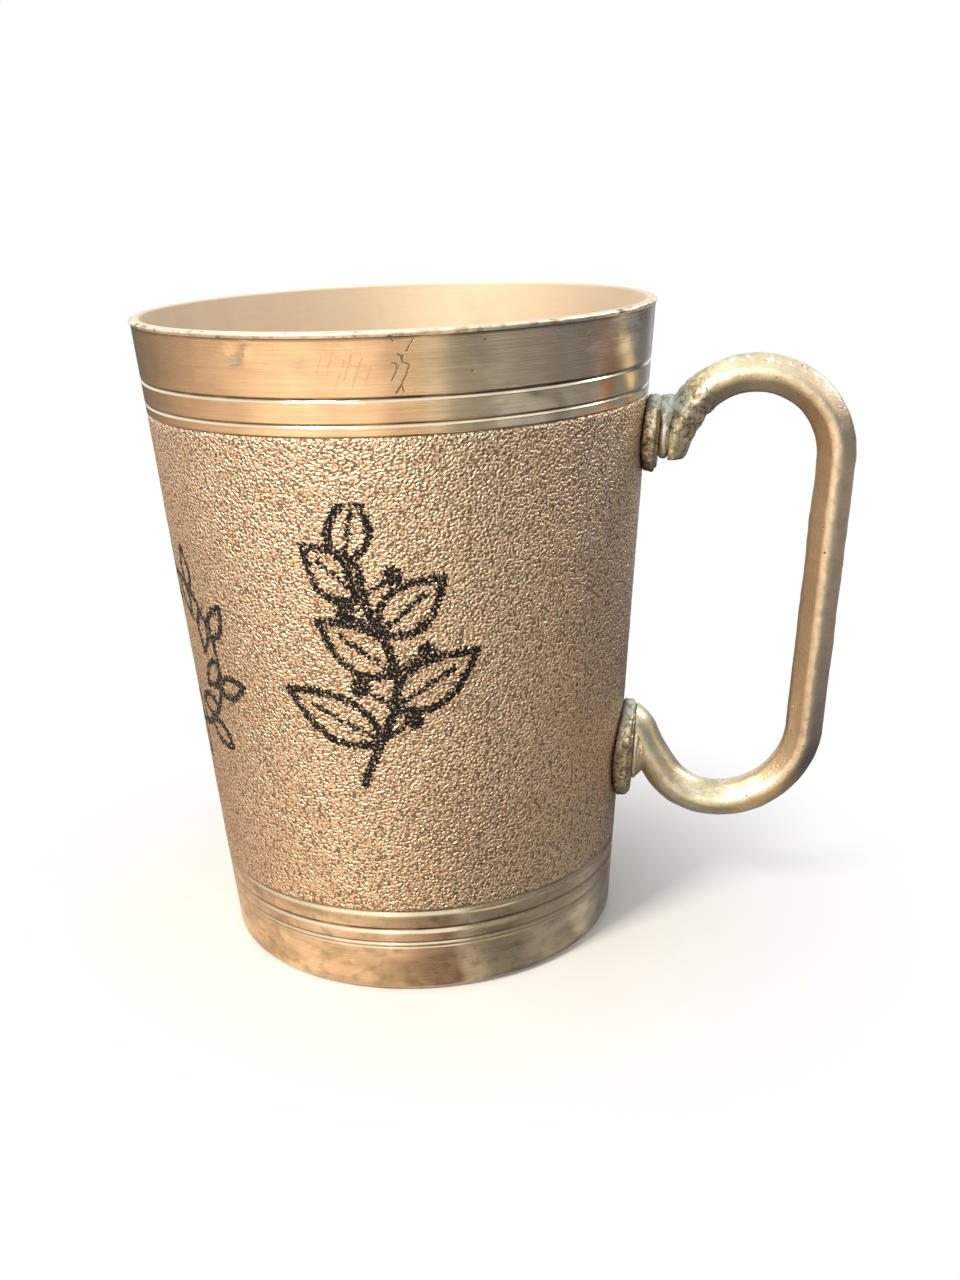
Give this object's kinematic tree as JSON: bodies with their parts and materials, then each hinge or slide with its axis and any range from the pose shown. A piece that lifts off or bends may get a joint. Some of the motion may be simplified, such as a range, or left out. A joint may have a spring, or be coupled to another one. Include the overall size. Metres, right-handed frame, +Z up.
{
  "type": "aluminium mug",
  "caption": "Tapered spun aluminium drinking mug with turned lines at rim and base and a cast C-shaped handle riveted on through stacked washers.",
  "frame": {"origin": "centre of the flat base", "axes": "+Z up through the mouth, +X towards the handle"},
  "size_m": [0.1225, 0.0898, 0.112],
  "materials": {
    "spun_cup": "warm-toned spun aluminium, brushed at rim, base and inside, stippled between the turned lines",
    "cast_handle": "worn satin casting with pits and dull oxide",
    "cast_flange": "rough casting with grime at the edges",
    "turned_collar": "smooth turned",
    "rivet": "smooth domed, slightly worn"
  },
  "bodies": {
    "root": {"mug_body": "spun_cup", "handle": "cast_handle", "upper_flange": "cast_flange", "lower_flange": "cast_flange", "upper_collar": "turned_collar", "lower_collar": "turned_collar", "upper_rivet": "rivet", "lower_rivet": "rivet"}
  },
  "joints": []
}
